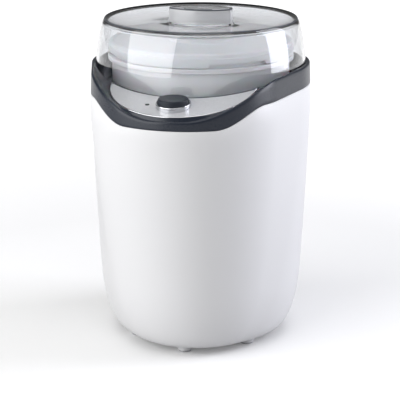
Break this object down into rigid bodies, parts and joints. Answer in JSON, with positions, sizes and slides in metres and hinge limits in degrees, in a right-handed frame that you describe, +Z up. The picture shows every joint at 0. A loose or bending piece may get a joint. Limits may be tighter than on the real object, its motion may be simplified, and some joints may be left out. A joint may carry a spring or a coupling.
{
  "type": "yogurt maker",
  "caption": "Egg-shaped white yogurt maker with dark wavy collar, sloping button panel, heated well, twist-lock vessel and clear domed cover with a knob.",
  "frame": {"origin": "bottom centre of the bounding box, on the surface that the feet stand on", "axes": "+Z up, -Y towards the control panel at the front, +X to the right seen from the front"},
  "size_m": [0.1592, 0.1894, 0.241],
  "materials": {
    "white_body": "satin",
    "white_part": "matte",
    "foot_white": "satin",
    "soft_pad": "matte",
    "slate_plastic": "satin",
    "silver_panel": "satin metallic paint",
    "bright_trim": "polished",
    "dark_lens": "polished",
    "led_red": "clear",
    "switch_black": "matte",
    "board_green": "lacquered",
    "relay_blue": "satin",
    "screw_steel": "zinc plated",
    "well_aluminium": "satin",
    "heater_silicone": "matte",
    "spring_steel": "brushed",
    "insulating_felt": "felt",
    "ceramic_white": "matte",
    "lead_brown": "satin",
    "lead_white": "satin",
    "cord_black": "satin",
    "vessel_plastic": "translucent",
    "gasket_silicone": "matte",
    "clear_plastic": "clear"
  },
  "bodies": {
    "housing": {"outer_casing": "white_body", "base_plate": "white_part", "feet": "foot_white", "foot_pads": "soft_pad", "base_screws": "screw_steel", "collar": "slate_plastic", "collar_screws": "screw_steel", "control_panel": "silver_panel", "panel_trim": "bright_trim", "button_bezel": "bright_trim", "push_switch": "switch_black", "indicator_lens": "dark_lens", "indicator_led": "led_red", "panel_board": "board_green", "panel_board_screws": "screw_steel", "control_board": "board_green", "board_relay": "relay_blue", "board_capacitor": "switch_black", "control_board_screws": "screw_steel", "heating_well": "well_aluminium", "well_screws": "screw_steel", "heater_band": "heater_silicone", "heater_clamp": "spring_steel", "insulation_sleeve": "insulating_felt", "thermostat": "spring_steel", "thermostat_clip": "spring_steel", "clip_nuts": "screw_steel", "thermal_fuse": "ceramic_white", "fuse_clip": "spring_steel", "terminal_block": "ceramic_white", "mains_leads": "lead_brown", "heater_leads": "lead_white", "cord_gland": "cord_black", "cord_clamp": "switch_black", "clamp_screws": "screw_steel"},
    "button": {"button_cap": "slate_plastic"},
    "vessel": {"vessel": "vessel_plastic"},
    "gasket": {"lid_gasket": "gasket_silicone"},
    "lid": {"vessel_lid": "vessel_plastic"},
    "cover": {"outer_cover": "clear_plastic"}
  },
  "joints": [
    {"name": "button_press", "type": "slide", "parent": "housing", "child": "button", "axis": [0, 0.2239, -0.9746], "range_m": [0, 0.0012], "stiffness_N_per_m": 300, "springref_m": -0.0005},
    {"name": "vessel_lift", "type": "slide", "parent": "housing", "child": "vessel", "axis": [0, 0, 1], "range_m": [0, 0.19]},
    {"name": "lid_lift", "type": "slide", "parent": "vessel", "child": "gasket", "axis": [0, 0, 1], "range_m": [0, 0.05]},
    {"name": "lid_twist", "type": "hinge", "parent": "gasket", "child": "lid", "pos_m": [0, 0.015, 0.2164], "axis": [0, 0, 1], "range_deg": [-30, 0]},
    {"name": "cover_lift", "type": "slide", "parent": "gasket", "child": "cover", "axis": [0, 0, 1], "range_m": [0, 0.07]}
  ]
}
